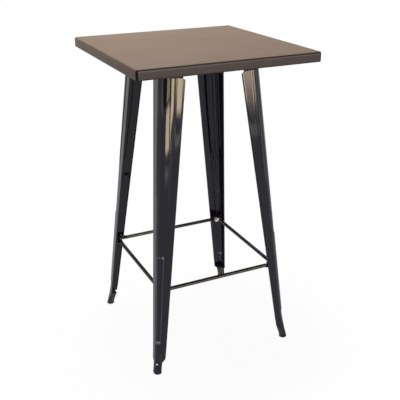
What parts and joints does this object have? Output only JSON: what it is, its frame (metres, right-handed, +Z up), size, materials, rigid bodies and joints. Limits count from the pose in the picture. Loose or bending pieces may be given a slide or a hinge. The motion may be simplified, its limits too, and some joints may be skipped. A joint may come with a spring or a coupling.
{
  "type": "pub table",
  "caption": "Bar-height square metal table with a folded sheet top, splayed pressed angle legs on moulded feet and a bolted footrest ring of round rods.",
  "frame": {"origin": "on the floor under the centre of the top", "axes": "+X to the right, +Y to the back, +Z up"},
  "size_m": [0.6, 0.6, 1.04],
  "materials": {
    "bronze_lacquer": "satin bronze-brown lacquer on folded sheet steel",
    "black_lacquer": "high-gloss near-black gunmetal lacquer on pressed sheet steel",
    "rod_lacquer": "gloss near-black lacquer on round steel rod",
    "moulded_plastic": "black moulded plastic, faint moulding texture",
    "zinc_steel": "bright zinc plate on steel fasteners"
  },
  "bodies": {
    "root": {"tabletop_pan": "bronze_lacquer", "support_rail_back": "bronze_lacquer", "support_rail_front": "bronze_lacquer", "support_rail_cross": "bronze_lacquer", "leg_back_right": "black_lacquer", "leg_back_left": "black_lacquer", "leg_front_left": "black_lacquer", "leg_front_right": "black_lacquer", "leg_bracket_back_right": "black_lacquer", "leg_bracket_back_left": "black_lacquer", "leg_bracket_front_left": "black_lacquer", "leg_bracket_front_right": "black_lacquer", "stretcher_bracket_back_right": "black_lacquer", "stretcher_bracket_back_left": "black_lacquer", "stretcher_bracket_front_left": "black_lacquer", "stretcher_bracket_front_right": "black_lacquer", "foot_plug_back_right": "moulded_plastic", "foot_plug_back_left": "moulded_plastic", "foot_plug_front_left": "moulded_plastic", "foot_plug_front_right": "moulded_plastic", "stretcher_back": "rod_lacquer", "stretcher_left": "rod_lacquer", "stretcher_front": "rod_lacquer", "stretcher_right": "rod_lacquer", "bracket_bolts": "zinc_steel", "bracket_washers": "zinc_steel", "bracket_nuts": "zinc_steel", "stretcher_bolts": "zinc_steel", "stretcher_washers": "zinc_steel", "stretcher_cap_nuts": "zinc_steel", "foot_rivets": "zinc_steel"}
  },
  "joints": []
}
